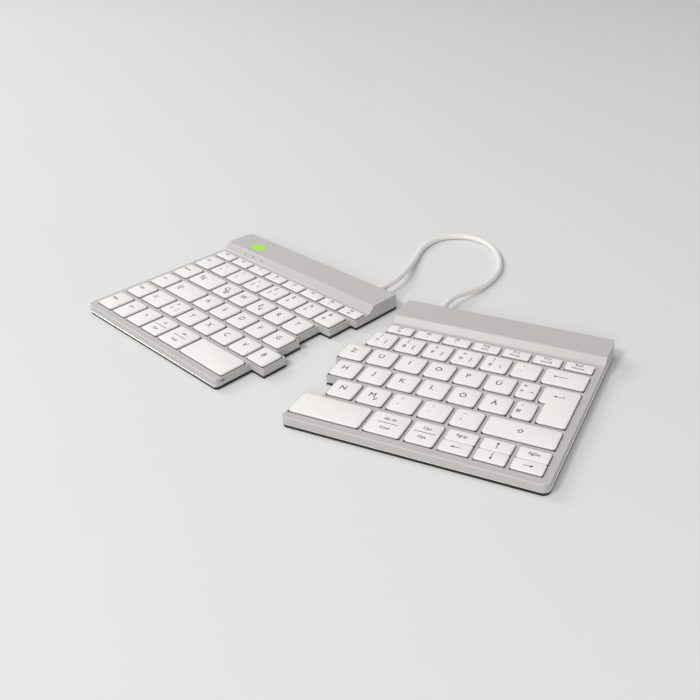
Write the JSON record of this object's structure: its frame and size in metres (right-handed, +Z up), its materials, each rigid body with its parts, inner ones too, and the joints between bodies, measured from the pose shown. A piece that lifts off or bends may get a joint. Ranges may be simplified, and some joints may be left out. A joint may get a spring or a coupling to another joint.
{
  "type": "ergonomic split keyboard",
  "caption": "Low two-part ergonomic computer keyboard with stepped inner edges, travelling keys, steel base plates and a joining cord looped behind the halves.",
  "frame": {"origin": "on the desk, midway between the outer ends of the two halves and midway between their front and rear edges, cord left out", "axes": "+X from the left half to the right half, +Y from the typist to the rear where the cord lies, +Z up"},
  "size_m": [0.3532, 0.2682, 0.0114],
  "materials": {
    "keycap_plastic": "fine satin, white",
    "shell_plastic": "fine matte, light grey",
    "polished_steel": "polished sheet steel",
    "plated_steel": "plated",
    "foot_rubber": "matte",
    "dome_silicone": "translucent matte",
    "circuit_sheet": "green laminate",
    "board_laminate": "green laminate",
    "green_lens": "lit, glossy",
    "clear_light_guide": "clear",
    "battery_wrap": "foil wrap",
    "white_cord_jacket": "matte, white"
  },
  "bodies": {
    "right_half": {"top_shell_right": "shell_plastic", "base_plate_right": "polished_steel", "key_circuit_right": "circuit_sheet", "dome_sheet_right": "dome_silicone", "feet_right": "foot_rubber", "screws_right": "plated_steel", "strain_relief_right": "white_cord_jacket", "battery_pack": "battery_wrap", "joining_cord": "white_cord_jacket"},
    "left_half": {"top_shell_left": "shell_plastic", "base_plate_left": "polished_steel", "key_circuit_left": "circuit_sheet", "dome_sheet_left": "dome_silicone", "feet_left": "foot_rubber", "screws_left": "plated_steel", "strain_relief_left": "white_cord_jacket", "controller_board": "board_laminate", "charging_inlet": "plated_steel", "status_light": "green_lens", "indicator_lights": "clear_light_guide"},
    "key_q": {"key_q": "keycap_plastic"},
    "key_w": {"key_w": "keycap_plastic"},
    "key_e": {"key_e": "keycap_plastic"},
    "key_r": {"key_r": "keycap_plastic"},
    "key_t": {"key_t": "keycap_plastic"},
    "key_a": {"key_a": "keycap_plastic"},
    "key_s": {"key_s": "keycap_plastic"},
    "key_d": {"key_d": "keycap_plastic"},
    "key_f": {"key_f": "keycap_plastic"},
    "key_g": {"key_g": "keycap_plastic"},
    "key_y": {"key_y": "keycap_plastic"},
    "key_x": {"key_x": "keycap_plastic"},
    "key_c": {"key_c": "keycap_plastic"},
    "key_v": {"key_v": "keycap_plastic"},
    "key_b": {"key_b": "keycap_plastic"},
    "key_shift_left": {"key_shift_left": "keycap_plastic"},
    "key_space_left": {"key_space_left": "keycap_plastic"},
    "keys_function_left": {"keys_function_left": "keycap_plastic"},
    "keys_macro_left": {"keys_macro_left": "keycap_plastic"},
    "keys_digit_left": {"keys_digit_left": "keycap_plastic"},
    "keys_modifier_left": {"keys_modifier_left": "keycap_plastic"},
    "key_z": {"key_z": "keycap_plastic"},
    "key_u": {"key_u": "keycap_plastic"},
    "key_i": {"key_i": "keycap_plastic"},
    "key_o": {"key_o": "keycap_plastic"},
    "key_p": {"key_p": "keycap_plastic"},
    "key_h": {"key_h": "keycap_plastic"},
    "key_j": {"key_j": "keycap_plastic"},
    "key_k": {"key_k": "keycap_plastic"},
    "key_l": {"key_l": "keycap_plastic"},
    "key_n": {"key_n": "keycap_plastic"},
    "key_m": {"key_m": "keycap_plastic"},
    "key_backspace": {"key_backspace": "keycap_plastic"},
    "key_enter": {"key_enter": "keycap_plastic"},
    "key_shift_right": {"key_shift_right": "keycap_plastic"},
    "key_space_right": {"key_space_right": "keycap_plastic"},
    "keys_function_right": {"keys_function_right": "keycap_plastic"},
    "keys_digit_right": {"keys_digit_right": "keycap_plastic"},
    "keys_symbol_right": {"keys_symbol_right": "keycap_plastic"},
    "keys_navigation_right": {"keys_navigation_right": "keycap_plastic"}
  },
  "joints": [
    {"name": "split_swing", "type": "hinge", "parent": "right_half", "child": "left_half", "pos_m": [0.01583, 0.09482, 0], "axis": [0, 0, 1], "range_deg": [-10, 18.18], "deforming": ["joining_cord"]},
    {"name": "key_q_press", "type": "slide", "parent": "left_half", "child": "key_q", "axis": [0, 0, -1], "range_m": [0, 0.0015], "stiffness_N_per_m": 300, "springref_m": -0.001},
    {"name": "key_w_press", "type": "slide", "parent": "left_half", "child": "key_w", "axis": [0, 0, -1], "range_m": [0, 0.0015], "stiffness_N_per_m": 300, "springref_m": -0.001},
    {"name": "key_e_press", "type": "slide", "parent": "left_half", "child": "key_e", "axis": [0, 0, -1], "range_m": [0, 0.0015], "stiffness_N_per_m": 300, "springref_m": -0.001},
    {"name": "key_r_press", "type": "slide", "parent": "left_half", "child": "key_r", "axis": [0, 0, -1], "range_m": [0, 0.0015], "stiffness_N_per_m": 300, "springref_m": -0.001},
    {"name": "key_t_press", "type": "slide", "parent": "left_half", "child": "key_t", "axis": [0, 0, -1], "range_m": [0, 0.0015], "stiffness_N_per_m": 300, "springref_m": -0.001},
    {"name": "key_a_press", "type": "slide", "parent": "left_half", "child": "key_a", "axis": [0, 0, -1], "range_m": [0, 0.0015], "stiffness_N_per_m": 300, "springref_m": -0.001},
    {"name": "key_s_press", "type": "slide", "parent": "left_half", "child": "key_s", "axis": [0, 0, -1], "range_m": [0, 0.0015], "stiffness_N_per_m": 300, "springref_m": -0.001},
    {"name": "key_d_press", "type": "slide", "parent": "left_half", "child": "key_d", "axis": [0, 0, -1], "range_m": [0, 0.0015], "stiffness_N_per_m": 300, "springref_m": -0.001},
    {"name": "key_f_press", "type": "slide", "parent": "left_half", "child": "key_f", "axis": [0, 0, -1], "range_m": [0, 0.0015], "stiffness_N_per_m": 300, "springref_m": -0.001},
    {"name": "key_g_press", "type": "slide", "parent": "left_half", "child": "key_g", "axis": [0, 0, -1], "range_m": [0, 0.0015], "stiffness_N_per_m": 300, "springref_m": -0.001},
    {"name": "key_y_press", "type": "slide", "parent": "left_half", "child": "key_y", "axis": [0, 0, -1], "range_m": [0, 0.0015], "stiffness_N_per_m": 300, "springref_m": -0.001},
    {"name": "key_x_press", "type": "slide", "parent": "left_half", "child": "key_x", "axis": [0, 0, -1], "range_m": [0, 0.0015], "stiffness_N_per_m": 300, "springref_m": -0.001},
    {"name": "key_c_press", "type": "slide", "parent": "left_half", "child": "key_c", "axis": [0, 0, -1], "range_m": [0, 0.0015], "stiffness_N_per_m": 300, "springref_m": -0.001},
    {"name": "key_v_press", "type": "slide", "parent": "left_half", "child": "key_v", "axis": [0, 0, -1], "range_m": [0, 0.0015], "stiffness_N_per_m": 300, "springref_m": -0.001},
    {"name": "key_b_press", "type": "slide", "parent": "left_half", "child": "key_b", "axis": [0, 0, -1], "range_m": [0, 0.0015], "stiffness_N_per_m": 300, "springref_m": -0.001},
    {"name": "key_shift_left_press", "type": "slide", "parent": "left_half", "child": "key_shift_left", "axis": [0, 0, -1], "range_m": [0, 0.0015], "stiffness_N_per_m": 300, "springref_m": -0.001},
    {"name": "key_space_left_press", "type": "slide", "parent": "left_half", "child": "key_space_left", "axis": [0, 0, -1], "range_m": [0, 0.0015], "stiffness_N_per_m": 300, "springref_m": -0.001},
    {"name": "keys_function_left_press", "type": "slide", "parent": "left_half", "child": "keys_function_left", "axis": [0, 0, -1], "range_m": [0, 0.0015], "stiffness_N_per_m": 300, "springref_m": -0.001},
    {"name": "keys_macro_left_press", "type": "slide", "parent": "left_half", "child": "keys_macro_left", "axis": [0, 0, -1], "range_m": [0, 0.0015], "stiffness_N_per_m": 300, "springref_m": -0.001},
    {"name": "keys_digit_left_press", "type": "slide", "parent": "left_half", "child": "keys_digit_left", "axis": [0, 0, -1], "range_m": [0, 0.0015], "stiffness_N_per_m": 300, "springref_m": -0.001},
    {"name": "keys_modifier_left_press", "type": "slide", "parent": "left_half", "child": "keys_modifier_left", "axis": [0, 0, -1], "range_m": [0, 0.0015], "stiffness_N_per_m": 300, "springref_m": -0.001},
    {"name": "key_z_press", "type": "slide", "parent": "right_half", "child": "key_z", "axis": [0, 0, -1], "range_m": [0, 0.0015], "stiffness_N_per_m": 300, "springref_m": -0.001},
    {"name": "key_u_press", "type": "slide", "parent": "right_half", "child": "key_u", "axis": [0, 0, -1], "range_m": [0, 0.0015], "stiffness_N_per_m": 300, "springref_m": -0.001},
    {"name": "key_i_press", "type": "slide", "parent": "right_half", "child": "key_i", "axis": [0, 0, -1], "range_m": [0, 0.0015], "stiffness_N_per_m": 300, "springref_m": -0.001},
    {"name": "key_o_press", "type": "slide", "parent": "right_half", "child": "key_o", "axis": [0, 0, -1], "range_m": [0, 0.0015], "stiffness_N_per_m": 300, "springref_m": -0.001},
    {"name": "key_p_press", "type": "slide", "parent": "right_half", "child": "key_p", "axis": [0, 0, -1], "range_m": [0, 0.0015], "stiffness_N_per_m": 300, "springref_m": -0.001},
    {"name": "key_h_press", "type": "slide", "parent": "right_half", "child": "key_h", "axis": [0, 0, -1], "range_m": [0, 0.0015], "stiffness_N_per_m": 300, "springref_m": -0.001},
    {"name": "key_j_press", "type": "slide", "parent": "right_half", "child": "key_j", "axis": [0, 0, -1], "range_m": [0, 0.0015], "stiffness_N_per_m": 300, "springref_m": -0.001},
    {"name": "key_k_press", "type": "slide", "parent": "right_half", "child": "key_k", "axis": [0, 0, -1], "range_m": [0, 0.0015], "stiffness_N_per_m": 300, "springref_m": -0.001},
    {"name": "key_l_press", "type": "slide", "parent": "right_half", "child": "key_l", "axis": [0, 0, -1], "range_m": [0, 0.0015], "stiffness_N_per_m": 300, "springref_m": -0.001},
    {"name": "key_n_press", "type": "slide", "parent": "right_half", "child": "key_n", "axis": [0, 0, -1], "range_m": [0, 0.0015], "stiffness_N_per_m": 300, "springref_m": -0.001},
    {"name": "key_m_press", "type": "slide", "parent": "right_half", "child": "key_m", "axis": [0, 0, -1], "range_m": [0, 0.0015], "stiffness_N_per_m": 300, "springref_m": -0.001},
    {"name": "key_backspace_press", "type": "slide", "parent": "right_half", "child": "key_backspace", "axis": [0, 0, -1], "range_m": [0, 0.0015], "stiffness_N_per_m": 300, "springref_m": -0.001},
    {"name": "key_enter_press", "type": "slide", "parent": "right_half", "child": "key_enter", "axis": [0, 0, -1], "range_m": [0, 0.0015], "stiffness_N_per_m": 300, "springref_m": -0.001},
    {"name": "key_shift_right_press", "type": "slide", "parent": "right_half", "child": "key_shift_right", "axis": [0, 0, -1], "range_m": [0, 0.0015], "stiffness_N_per_m": 300, "springref_m": -0.001},
    {"name": "key_space_right_press", "type": "slide", "parent": "right_half", "child": "key_space_right", "axis": [0, 0, -1], "range_m": [0, 0.0015], "stiffness_N_per_m": 300, "springref_m": -0.001},
    {"name": "keys_function_right_press", "type": "slide", "parent": "right_half", "child": "keys_function_right", "axis": [0, 0, -1], "range_m": [0, 0.0015], "stiffness_N_per_m": 300, "springref_m": -0.001},
    {"name": "keys_digit_right_press", "type": "slide", "parent": "right_half", "child": "keys_digit_right", "axis": [0, 0, -1], "range_m": [0, 0.0015], "stiffness_N_per_m": 300, "springref_m": -0.001},
    {"name": "keys_symbol_right_press", "type": "slide", "parent": "right_half", "child": "keys_symbol_right", "axis": [0, 0, -1], "range_m": [0, 0.0015], "stiffness_N_per_m": 300, "springref_m": -0.001},
    {"name": "keys_navigation_right_press", "type": "slide", "parent": "right_half", "child": "keys_navigation_right", "axis": [0, 0, -1], "range_m": [0, 0.0015], "stiffness_N_per_m": 300, "springref_m": -0.001}
  ]
}
